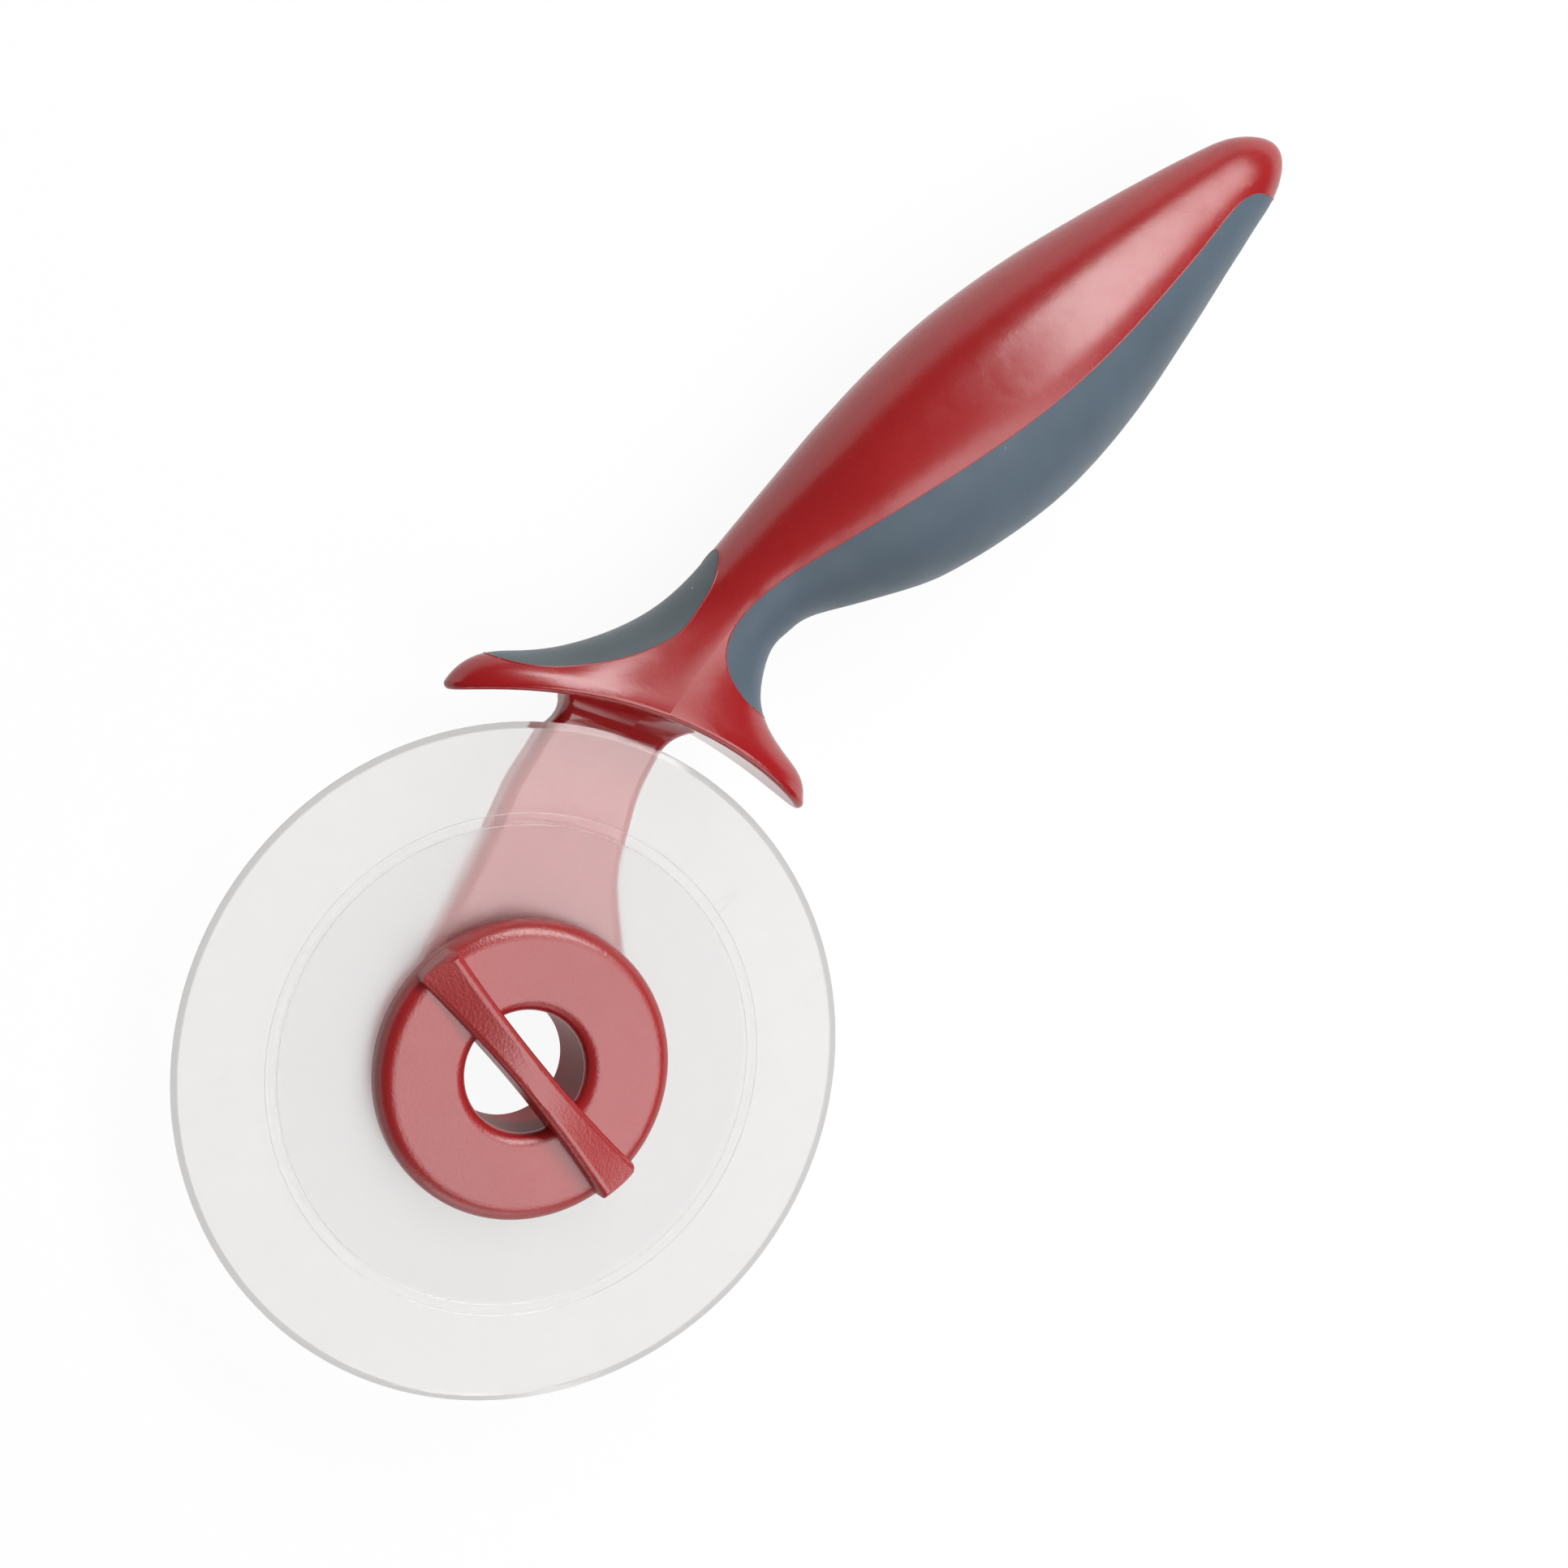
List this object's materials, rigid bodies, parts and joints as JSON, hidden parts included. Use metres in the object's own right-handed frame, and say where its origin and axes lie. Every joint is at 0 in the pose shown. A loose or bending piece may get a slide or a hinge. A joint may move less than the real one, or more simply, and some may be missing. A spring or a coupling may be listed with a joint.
{
  "type": "pizza cutter wheel",
  "caption": "Hand-held pizza cutter: translucent cutting wheel on a hollow axle, twist-off hub knob, finger guard and handle with soft grips.",
  "frame": {"origin": "centre of the wheel on its spin axis, half way through the wheel's thickness", "axes": "+Z along the spin axis towards the knob (front), +X along the handle towards its end, +Y towards the thumb pad side; stored lying on its back"},
  "size_m": [0.2324, 0.1028, 0.0288],
  "materials": {
    "red_plastic": "moulded red plastic, satin gloss",
    "core_plastic": "plain moulded filler plug, hidden",
    "soft_grip": "slate blue-grey soft elastomer, matt",
    "clear_plastic": "clear plastic, frosted plate and polished bevel"
  },
  "bodies": {
    "handle": {"handle_body": "red_plastic", "handle_core": "core_plastic", "lower_grip": "soft_grip", "thumb_pad": "soft_grip", "axle_tube": "red_plastic"},
    "wheel": {"blade": "clear_plastic"},
    "knob": {"release_knob": "red_plastic"}
  },
  "joints": [
    {"name": "blade_spin", "type": "hinge", "parent": "handle", "child": "wheel", "pos_m": [0, 0, 0], "axis": [0, 0, 1], "continuous": true},
    {"name": "knob_twist", "type": "hinge", "parent": "handle", "child": "knob", "pos_m": [0, 0, 0], "axis": [0, 0, 1], "range_deg": [0, 60]}
  ]
}
